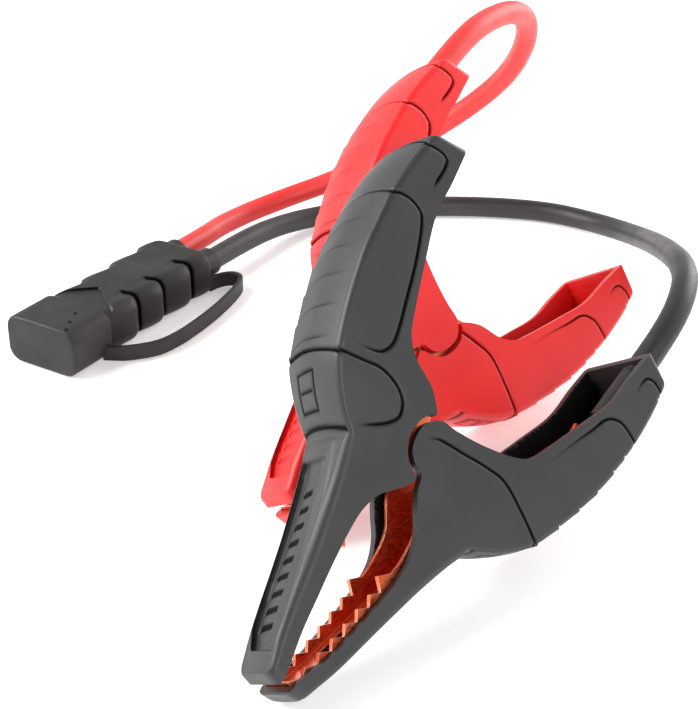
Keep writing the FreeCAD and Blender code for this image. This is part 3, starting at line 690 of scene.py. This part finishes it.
def jaw_panel(u, v):
    """Long sunk panel on the jaw, with a bevel along one side and a row of plain slots in it, and
    painted shade in the slots and along the panel's sunk edges.
    """
    left, right, ridge = (np.interp(u, *line) for line in (PANEL_LEFT, PANEL_RIGHT, PANEL_RIDGE))
    along = step(u, 6.0, 7.0) * step(PANEL_END - u, 0, 0.9)
    bevel = np.clip((ridge - v) / np.maximum(ridge - right, 0.6), 0, 1)
    depth = -PANEL_DEPTH * along * step(v - left, 0, 0.45) * bevel
    marks = np.zeros_like(u)
    for at in SLOTS:
        slanted = u - at - 0.14 * (v + 2)
        across = step(v, SLOT_LOW, SLOT_LOW + 0.4) * step(1.2 - 0.04 * at - v, 0, 0.4)
        marks -= SLOT_DEPTH * np.exp(-((slanted / SLOT_HALF) ** 4)) * across
    # painted shade along the panel's sunk side and end, and in the slots
    rim = np.exp(-(((v - left) / 0.45) ** 2)) + np.exp(-(((u - 58.0) / 0.5) ** 2)) * (v > left)
    dark = np.clip(-marks / 0.35, 0, 1) + 0.8 * rim * (v < ridge - 1.5)
    swell = 0.3 * np.exp(-(((v - ridge) / 1.2) ** 2)) * step(u, 3, 10) * step(63.5 - u, 0, 3)
    return depth + marks * along + swell, np.clip(dark, 0, 1) * along


def end_fan(loop, centre, hole_radius, rings):
    """Rings of points from a closed loop of an end face in to a hole, or to one centre point."""
    loop = np.asarray(loop)
    spokes = loop - centre
    reach = np.linalg.norm(spokes, axis=1, keepdims=True)
    target = centre + spokes / reach * hole_radius
    out = [loop]
    for f in np.linspace(0, 1, rings + 1)[1:]:
        out.append(loop * (1 - f) + target * f)
    return np.concatenate(out), len(loop), rings + 1


class Builder:
    """Collects grids of points into one piece."""

    def __init__(self):
        self.points, self.faces, self.count = [], [], 0

    def grid(self, points, rows, columns, closed=False):
        self.points.append(np.asarray(points, float).reshape(-1, 3))
        self.faces += grid_faces(rows, columns, self.count, closed)
        self.count += rows * columns

    def fan(self, loop, centre, hole_radius, rings=3):
        points, columns, rows = end_fan(loop, np.asarray(centre, float), hole_radius, rings)
        self.grid(points, rows, columns, closed=True)

    def strip(self, *lines):
        lines = [np.asarray(line, float) for line in lines]
        self.grid(np.concatenate(lines), len(lines), len(lines[0]))

    def done(self, name, matrix, **options):
        return make_object(name, np.concatenate(self.points), self.faces, matrix, **options)


def draw_in(row, middle, share):
    """Draws one station's points in towards a middle point in y-z."""
    row[:, 1:] += (np.array(middle) - row[:, 1:]) * share


def cover_end(build, outer, inside, rows, inner_row, centre, inward, exit_side):
    """Closed nose or handle end, with the lead's hole where exit_side says where it leaves."""
    outer_row = outer[rows][0 if inner_row == 0 else -1]
    inner_loop = inside[inner_row]
    spots = np.linspace(0, 1, 12)[:, None]
    outer_low = outer_row[-1] * (1 - spots) + outer_row[0] * spots
    inner_low = inner_loop[-1] * (1 - spots) + inner_loop[0] * spots
    wall = np.array([WALL * inward, 0, 0])
    radius = 0.01
    if exit_side is not None:
        radius = LEAD_DIAMETER / MM / 2 + 0.05
        centre = (152.9, 48.2, exit_side)
    build.fan(np.concatenate([outer_row, outer_low[1:-1]]), centre, radius)
    build.fan(np.concatenate([inner_loop, inner_low[1:-1]]), np.array(centre) + wall, radius)
    if exit_side is not None:
        angles = np.linspace(0, 2 * math.pi, 49)
        ring = np.column_stack([np.zeros(49), radius * np.sin(angles), radius * np.cos(angles)])
        build.strip(ring + centre, ring + centre + wall)
    underside = [far * (1 - spots) + near * spots for near, far in outer[rows][:, [0, -1]]]
    build.grid(np.concatenate(underside), len(underside), 12)


def cover_piece(name, matrix, inside_shade, exit_side=None):
    crest, edge = fan_rows(FREE_EDGE if exit_side is None else LEAD_EDGE)
    widths = half_width(crest[:, 0])
    corner = np.interp(crest[:, 0], *CORNERS)
    crown = np.interp(crest[:, 0], *CROWNS)
    outer, normals = section(crest, edge, widths, corner, 64, 96, crown[:, None])
    outer[..., 2] *= half_width(outer[..., 0]) / widths[:, None]
    relief, dark = cover_relief(outer, normals)
    waist = -WAIST_STEP * step(WAIST_X - outer[..., 0], 0, 0.5) * (1 - np.abs(normals[..., 2]))
    outer = outer + normals * (relief + waist)[..., None]
    for i, f in enumerate(np.linspace(0, 1, 9)[:-1]):
        draw_in(outer[i], NOSE_MIDDLE, NOSE_ROUND * (1 - math.sqrt(1 - (1 - f) ** 2)))
    for i, f in enumerate(np.linspace(0, 1, 5)[:-1]):
        draw_in(outer[-1 - i], TAIL_MIDDLE, TAIL_ROUND * (1 - math.sin(f * math.pi / 2)))
    slope = np.gradient(crest, axis=0)
    slope /= np.linalg.norm(slope, axis=1, keepdims=True)
    inset = crest + np.column_stack([slope[:, 1], -slope[:, 0]]) * WALL
    keep = (crest[:, 0] > 2.6) & (crest[:, 0] < 149.2)
    inside, _ = section(
        inset[keep], edge[keep], widths[keep] - WALL, np.full(keep.sum(), 1.2), 8, 12, 0.4
    )
    build = Builder()
    build.grid(outer, len(outer), outer.shape[1])
    build.grid(inside, len(inside), inside.shape[1])
    kept = np.flatnonzero(keep)
    first, last = kept[0], kept[-1]
    for column, side in ((0, 1), (-1, -1)):
        rim = outer[first : last + 1, column]
        inner_rim = inside[:, column]
        low = np.array([0, 0, -0.35 * side])
        build.strip(rim, rim + low, inner_rim - low, inner_rim)
    nose, tail = slice(0, first + 1), slice(last, None)
    cover_end(build, outer, inside, nose, 0, (0.35, 3.6, 0.0), 1, None)
    cover_end(build, outer, inside, tail, -1, (153.0, 48.4, 0.0), -1, exit_side)
    # painted shade: the relief's on the outer surface, inside_shade on the channel's inner surface
    marks = np.zeros(build.count)
    marks[: dark.size] = dark.ravel()
    marks[dark.size : dark.size + inside[..., 0].size] = inside_shade
    return build.done(name, matrix, marks=marks)


def clamp_matrix(name, half):
    turned = TURNED_OVER if half == "lower" else Matrix.Identity(4)
    return FRAMES[name] @ turned


for clamp in ("black", "red"):
    for half in ("upper", "lower"):
        carries = LEAD_HALF[clamp] == half
        role = "lead" if carries else "free"
        body = "root" if carries else f"{clamp}_free_half"
        exit_side = EXIT_SIDE[clamp] if carries else None
        matrix = clamp_matrix(clamp, half)
        piece = cover_piece(f"{clamp}_{half}_cover", matrix, INSIDE_SHADE[clamp], exit_side)
        finish_piece(piece, body, f"{clamp}_plastic", f"{clamp}_{role}_handle_cover")


# ---------------------------------------------------------------- jaws, rivets and small pieces


def edge_attribute(mesh, values):
    layer = mesh.attributes.new("edge", "FLOAT", "FACE")
    layer.data.foreach_set("value", values)


def refined(node, bevel, slot, segments=2):
    """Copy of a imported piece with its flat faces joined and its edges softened."""
    mesh = frame["nodes"][node].data.copy()
    mesh.materials.clear()
    work = bmesh.new()
    work.from_mesh(mesh)
    bmesh.ops.remove_doubles(work, verts=work.verts, dist=2e-6)
    bmesh.ops.dissolve_limit(
        work, angle_limit=math.radians(1.2), verts=work.verts, edges=work.edges
    )
    sharp = []
    for edge in work.edges:
        if len(edge.link_faces) == 2 and edge.calc_face_angle(0) > math.radians(32):
            sharp.append(edge)
    made = bmesh.ops.bevel(
        work, geom=sharp, offset=bevel * MM, offset_type="OFFSET", segments=segments,
        profile=0.5, affect="EDGES", clamp_overlap=True,
    )
    bmesh.ops.recalc_face_normals(work, faces=work.faces)
    work.faces.index_update()
    # bevelled faces, marked in the edge attribute for the copper's painted highlight
    painted_highlight = {face.index for face in made["faces"]}
    work.to_mesh(mesh)
    work.free()
    edge_attribute(mesh, [1.0 if i in painted_highlight else 0.0 for i in range(len(mesh.polygons))])
    mesh.shade_smooth()
    mesh.set_sharp_from_angle(angle=math.radians(40))
    obj = bpy.data.objects.new(f"{node}_piece", mesh)
    bpy.context.scene.collection.objects.link(obj)
    even = obj.modifiers.new("even shading", "WEIGHTED_NORMAL")
    even.keep_sharp = True
    finish_piece(obj, frame["nodes"][node]["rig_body"], slot, node)


for clamp in ("black", "red"):
    for role in ("lead", "free"):
        refined(f"{clamp}_{role}_jaw", 0.22, "copper")
    refined(f"{clamp}_pivot_rivet", 0.3, "rivet_steel", 3)
    refined(f"{clamp}_lead_sleeve", 0.6, "boot_rubber", 3)
refined("plug_housing", 0.3, "housing_plastic", 2)


# ---------------------------------------------------------------- torsion springs

COIL_RADIUS = 5.2
WIRE_RADIUS = 1.0
COIL_PITCH = 2.05
COIL_TURNS = 3.5 - 58 / 180
LEG_REACH = 46.0
FIRST_LEG_ANGLE = 148


def sweep(path, radius, sides=16):
    """Rings of points round a path, for a round wire."""
    path = np.asarray(path)
    along = np.gradient(path, axis=0)
    along /= np.linalg.norm(along, axis=1, keepdims=True)
    up = np.cross(along, [0.31, 0.22, 0.93])
    up /= np.linalg.norm(up, axis=1, keepdims=True)
    across = np.cross(along, up)
    angles = np.linspace(0, 2 * math.pi, sides, endpoint=False)
    ring = up[:, None] * np.cos(angles)[:, None] + across[:, None] * np.sin(angles)[:, None]
    return path[:, None] + ring * radius


def wire_piece(name, path, matrix):
    build = Builder()
    rings = sweep(path, WIRE_RADIUS)
    build.grid(rings, len(path), rings.shape[1], closed=True)
    for end, ring in ((path[0], rings[0]), (path[-1], rings[-1])):
        build.fan(ring, end, 0.05, 2)
    return build.done(name, matrix, weld=0.06)


def spring_paths():
    """Coil, leg of the upper half and leg of the lower half, in the clamp's frame."""
    turn = Matrix.Rotation(math.radians(FIRST_LEG_ANGLE), 3, "Z")
    total = 2 * math.pi * COIL_TURNS
    angles = np.linspace(0, total, 150)
    height = COIL_PITCH * COIL_TURNS
    z = COIL_PITCH * angles / (2 * math.pi) - height / 2
    coil = np.column_stack([COIL_RADIUS * np.cos(angles), COIL_RADIUS * np.sin(angles), z])
    slope = np.array([0, 2 * math.pi * COIL_RADIUS, COIL_PITCH])
    slope /= np.linalg.norm(slope)
    last = np.array(Matrix.Rotation(total, 3, "Z") @ Vector(slope))
    reach = np.linspace(0, LEG_REACH, 24)[:, None]
    rotate = np.array(turn)
    shift = np.array([PIVOT_X, 0, 0])
    first_leg = (coil[0] - slope * reach) @ rotate.T + shift
    last_leg = (coil[-1] + last * reach) @ rotate.T + shift
    return coil @ rotate.T + shift, first_leg, last_leg


for clamp in ("black", "red"):
    coil, upper_leg, lower_leg = spring_paths()
    node = f"{clamp}_torsion_spring"
    bodies = {"root": [coil], f"{clamp}_free_half": []}
    bodies["root" if LEAD_HALF[clamp] == "upper" else f"{clamp}_free_half"].append(upper_leg)
    bodies["root" if LEAD_HALF[clamp] == "lower" else f"{clamp}_free_half"].append(lower_leg)
    for body, paths in bodies.items():
        for number, path in enumerate(paths):
            wire = wire_piece(f"{node}_{body}_{number}", path, FRAMES[clamp])
            finish_piece(wire, body, "spring_steel", node)


# ---------------------------------------------------------------- plug
# Drawn in the plug's own frame: x across, y back from the cap's front, z up from the floor.

BOOT_FRONT, BOOT_BACK = 20.8, 82.8
BOOT_HALF, BOOT_BULGE = 13.6, 2.3
BOOT_TOP, BOOT_ROUND, BOOT_MIDDLE = 17.5, 5.0, 8.7
SEAM_DEPTH, PLATE_DEPTH = 1.25, 0.9
# where the grips bulge most, as a share of their length
RIGHT_CREST, LEFT_CREST = 0.72, 0.16
RIGHT_GRIPS = [20.8, 39.4, 54.2, 71.6, 82.8]
LEFT_GRIPS = [20.8, 38.5, 54.8, 72.8, 82.8]
RIGHT_SEAMS = [
    [(5.4, 38.0), (8.5, 38.9), (12.0, 40.0), (16.0, 39.4)],
    [(5.5, 51.9), (8.5, 53.0), (12.0, 54.6), (16.0, 54.2)],
    [(4.9, 69.0), (8.5, 70.6), (12.4, 72.3), (16.0, 71.6)],
]
LEFT_SEAMS = [
    [(-16.0, 38.5), (-9.6, 39.1)],
    [(-16.0, 54.8), (-11.6, 52.4)],
    [(-16.0, 72.8), (-12.2, 70.0)],
]
FRONT_PLATE = [(-16.4, 23.1), (-9.2, 30.1), (-2.8, 35.8), (-1.6, 36.0), (2.9, 31.9), (16.6, 22.9)]


def rounded_ring(half, low, high, radius, counts):
    """Points and outward directions round a rounded rectangle in x-z, from its lower right."""
    flat_top, side, corner = counts
    points, facing = [], []

    def run(start, end, number, direction):
        for f in np.linspace(0, 1, number, endpoint=False):
            points.append((start[0] + (end[0] - start[0]) * f, start[1] + (end[1] - start[1]) * f))
            facing.append(direction)

    def turn(centre, begin):
        for f in np.linspace(0, 1, corner, endpoint=False):
            angle = math.radians(begin + 90 * f)
            points.append((centre[0] + radius * math.cos(angle), centre[1] + radius * math.sin(angle)))
            facing.append((math.cos(angle), math.sin(angle)))

    right, top, bottom = half - radius, high - radius, low + radius
    run((half, bottom), (half, top), side, (1, 0))
    turn((right, top), 0)
    run((right, high), (-right, high), flat_top, (0, 1))
    turn((-right, top), 90)
    run((-half, top), (-half, bottom), side, (-1, 0))
    turn((-right, bottom), 180)
    run((-right, low), (right, low), flat_top // 2, (0, -1))
    turn((right, bottom), 270)
    return np.array(points), np.array(facing)


def boot_relief(x, y, side, top):
    """Height of the boot's surface: crossed bands on top, overlapping grips down the sides; and
    painted shade along the right seams and the front plate's edge.
    """
    height, dark = np.zeros_like(x), np.zeros_like(x)
    plate = np.interp(x, *zip(*FRONT_PLATE))
    height -= PLATE_DEPTH * step(plate - y, -0.2, 0.3) * top
    for seam in RIGHT_SEAMS:
        at = np.interp(x, *zip(*seam))
        ahead = at - y
        fall = np.where(ahead >= 0, np.exp(-ahead / 3.2), np.exp(ahead / 0.25))
        height -= SEAM_DEPTH * fall * step(x, 5.0, 8.0)
        # painted shade along the right side's seams
        dark = np.maximum(dark, np.exp(-((ahead / 0.55) ** 2)) * step(x, 5.0, 7.0))
    for seam in LEFT_SEAMS:
        at = np.interp(x, *zip(*seam))
        ahead = at - y
        fall = np.where(ahead >= 0, np.exp(-ahead / 4.5), np.exp(ahead / 0.25))
        height -= SEAM_DEPTH * fall * step(-x, 9.4, 13.5)
    height -= 1.0 * np.exp(-(((y - BOOT_FRONT) / 0.9) ** 2))
    # painted shade along the front plate's left edge
    dark = np.maximum(dark, 0.9 * np.exp(-(((plate - y) / 0.4) ** 2)) * top * (x < -2.5))
    return height * np.clip(side + top, 0, 1), dark


def grip_half(y, bounds, crest):
    """Half width of the boot at y, where a row of grips bulges between the bounds."""
    index = min(max(np.searchsorted(bounds, y) - 1, 0), len(bounds) - 2)
    share = (y - bounds[index]) / (bounds[index + 1] - bounds[index])
    reach = crest if share < crest else 1 - crest
    return BOOT_HALF + BOOT_BULGE * (1 - ((share - crest) / reach) ** 2)


def boot_piece():
    rows = np.linspace(BOOT_FRONT, BOOT_BACK, 190)
    rings, faces_out = [], []
    for y in rows:
        right = grip_half(y, RIGHT_GRIPS, RIGHT_CREST)
        left = grip_half(y, LEFT_GRIPS, LEFT_CREST)
        ring, out = rounded_ring(BOOT_HALF, 0.0, BOOT_TOP, BOOT_ROUND, (90, 26, 16))
        spread = np.where(ring[:, 0] > 0, right, left) - BOOT_HALF
        ring[:, 0] += spread * ring[:, 0] / BOOT_HALF
        rings.append(np.column_stack([ring[:, 0], np.full(len(ring), y), ring[:, 1]]))
        faces_out.append(np.column_stack([out[:, 0], np.zeros(len(out)), out[:, 1]]))
    points, out = np.array(rings), np.array(faces_out)
    side = np.abs(out[..., 0])
    top = np.clip(out[..., 2], 0, 1)
    relief, dark = boot_relief(points[..., 0], points[..., 1], side, top)
    relief *= step(points[..., 2], 0.2, 3.0)
    points = points + out * relief[..., None]
    for i, f in enumerate(np.linspace(0, 1, 6)[:-1]):
        shrink = 1 - 0.06 * (1 - math.sin(f * math.pi / 2))
        for row in (i, -1 - i):
            points[row, :, 0] *= shrink
            points[row, :, 2] = BOOT_MIDDLE + (points[row, :, 2] - BOOT_MIDDLE) * shrink
    build = Builder()
    build.grid(points, len(points), points.shape[1], closed=True)
    for row, y in ((0, BOOT_FRONT), (-1, BOOT_BACK)):
        build.fan(points[row], (0, y, BOOT_MIDDLE), 0.3, 4)
    # painted shade of the boot's points, kept in the groove attribute
    marks = np.zeros(build.count)
    marks[: dark.size] = dark.ravel()
    return build.done("plug_boot_piece", PLUG, weld=0.01, marks=marks)


CAP_LENGTH, CAP_HALF, CAP_TOP, CAP_CORNER = 20.5, 16.0, 18.5, 5.5
CAP_DOTS = [(5.8, 13.4), (8.4, 7.4), (11.0, 2.4)]
CAP_SEAT = 2.6
CAP_EDGE = 1.3
# half width, bottom, top and corner radius of the cap's hollow
CAP_HOLLOW = (12.3, 2.45, 16.05, 2.8)


def cap_piece():
    """Cup that slips over the plug's nose: rounded front, side walls, rim and seat."""
    rings = []

    def add(half, low, high, radius, y):
        ring, out = rounded_ring(half, low, high, max(radius, 0.3), (80, 24, 10))
        rings.append(np.column_stack([ring[:, 0], np.full(len(ring), y), ring[:, 1]]))
        return out

    for f in np.linspace(0, 1, 9):
        inset = CAP_EDGE * (1 - math.sin(f * math.pi / 2))
        depth = CAP_EDGE * (1 - math.cos(f * math.pi / 2))
        add(CAP_HALF - inset, inset, CAP_TOP - inset, CAP_CORNER - inset, depth)
    for y in np.linspace(CAP_EDGE, CAP_LENGTH - 0.5, 72)[1:]:
        out = add(CAP_HALF, 0.0, CAP_TOP, CAP_CORNER, y)
    add(CAP_HALF - 0.15, 0.15, CAP_TOP - 0.15, CAP_CORNER, CAP_LENGTH - 0.15)
    add(CAP_HALF - 0.5, 0.5, CAP_TOP - 0.5, CAP_CORNER, CAP_LENGTH)
    outer = np.array(rings)
    heights, dark = np.zeros(outer.shape[:2]), np.zeros(outer.shape[:2])
    facing_up = out[:, 1] > 0.95
    for dot_x, dot_y in CAP_DOTS:
        gap = np.hypot(outer[..., 0] - dot_x, outer[..., 1] - dot_y)
        sunk = np.exp(-((gap / 0.7) ** 4)) * facing_up
        heights -= 0.6 * sunk
        # painted shade in the sunk dots
        dark = np.maximum(dark, sunk)
    pillow = 0.35 * np.clip((outer[..., 0] / CAP_HALF) ** 2, 0, 1) * facing_up
    outer[..., 2] += heights - pillow
    rings.clear()
    for y in (CAP_LENGTH, CAP_LENGTH - 0.4, 12.0, CAP_SEAT + 0.4, CAP_SEAT):
        add(*CAP_HOLLOW, y)
    inner = np.array(rings)
    build = Builder()
    build.grid(outer, len(outer), outer.shape[1], closed=True)
    build.grid(inner, len(inner), inner.shape[1], closed=True)
    build.grid(np.array([outer[-1], inner[0]]), 2, outer.shape[1], closed=True)
    build.fan(outer[0], (0, 0, CAP_TOP / 2), 0.3, 6)
    build.fan(inner[-1], (0, CAP_SEAT, CAP_TOP / 2), 0.3, 3)
    # painted shade of the cap's points, kept in the groove attribute
    marks = np.zeros(build.count)
    marks[: dark.size] = dark.ravel()
    return build.done("dust_cap_piece", PLUG, weld=0.01, marks=marks)


finish_piece(boot_piece(), "root", "boot_rubber", "plug_boot")
finish_piece(cap_piece(), "dust_cap", "boot_rubber", "dust_cap")

STRAP_ROUTE = [
    (14.4, 16.9), (18.4, 18.9), (22.7, 21.9), (28.8, 30.2), (30.7, 40.0), (30.7, 50.0),
    (29.8, 62.0), (28.0, 74.0), (25.4, 85.0), (22.4, 91.0), (19.0, 92.4), (15.8, 90.4), (13.9, 86.6),
    (13.3, 82.8),
]
STRAP_THICK, STRAP_LOW, STRAP_HIGH = 2.0, 0.45, 6.35


def strap_piece():
    route = smooth(STRAP_ROUTE, 12)
    along = np.gradient(route, axis=0)
    along /= np.linalg.norm(along, axis=1, keepdims=True)
    across = np.column_stack([-along[:, 1], along[:, 0]])
    profile, _ = rounded_ring(STRAP_THICK / 2, STRAP_LOW, STRAP_HIGH, 0.55, (6, 12, 5))
    rings = route[:, None] + across[:, None] * profile[None, :, :1]
    height = np.broadcast_to(profile[None, :, 1:], (len(route), len(profile), 1))
    rings = np.concatenate([rings, height], axis=2)
    build = Builder()
    build.grid(rings, len(rings), rings.shape[1], closed=True)
    for row in (0, -1):
        build.fan(rings[row], rings[row].mean(axis=0), 0.2, 2)
    obj = build.done("cap_tether_piece", PLUG, weld=0.01)
    paint(obj, "boot_rubber")
    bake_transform(obj)
    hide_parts("cap_tether")


strap_piece()


# ---------------------------------------------------------------- light and floor


def add_area(name, location, target, size, power):
    data = bpy.data.lights.new(name, "AREA")
    data.shape = "DISK"
    data.size = size
    data.energy = power
    light = bpy.data.objects.new(name, data)
    light.location = location
    aim = Vector(target) - Vector(location)
    light.rotation_euler = aim.to_track_quat("-Z", "Y").to_euler()
    bpy.context.scene.collection.objects.link(light)


BRIGHT_SIDE = Vector((0.0, 0.85, -0.30))
ROOM = {"From Min": -0.35, "From Max": 0.45, "To Min": 0.06, "To Max": 1.0}
# name, place, aim, size in metres, watts
LIGHTS = [
    ("key", (-0.85, -0.50, 0.85), (0.0, 0.02, 0.04), 1.1, 30),
    ("rear", (0.35, 1.25, 0.45), (0.0, 0.1, 0.05), 0.9, 9),
    ("right", (1.05, -0.60, 0.70), (0.05, 0.0, 0.05), 1.0, 15),
]


def studio_world():
    """Soft white room, bright low down behind the object, dark overhead and by the camera."""
    world = bpy.data.worlds.new("studio")
    world.use_nodes = True
    tree = world.node_tree
    coords = tree.nodes.new("ShaderNodeTexCoord")
    facing = tree.nodes.new("ShaderNodeVectorMath")
    facing.operation = "DOT_PRODUCT"
    facing.inputs[1].default_value = BRIGHT_SIDE
    tree.links.new(coords.outputs["Generated"], facing.inputs[0])
    strength = tree.nodes.new("ShaderNodeMapRange")
    strength.interpolation_type = "SMOOTHSTEP"
    for socket, value in ROOM.items():
        strength.inputs[socket].default_value = value
    tree.links.new(facing.outputs["Value"], strength.inputs["Value"])
    background = tree.nodes["Background"]
    background.inputs["Color"].default_value = (1, 1, 1, 1)
    tree.links.new(strength.outputs["Result"], background.inputs["Strength"])
    bpy.context.scene.world = world


def add_stage():
    bpy.ops.mesh.primitive_plane_add(size=12, location=(0, 0, -0.0002))
    floor = bpy.context.object
    floor.name = "floor"
    paper = bsdf_material("floor", (0.95, 0.95, 0.95), 0.7, Emission_Strength=0.3)
    paper.node_tree.nodes["Principled BSDF"].inputs["Emission Color"].default_value = (1, 1, 1, 1)
    floor.data.materials.append(paper)
    studio_world()
    for light in LIGHTS:
        add_area(*light)
    bpy.context.scene.view_settings.view_transform = "Standard"


add_stage()
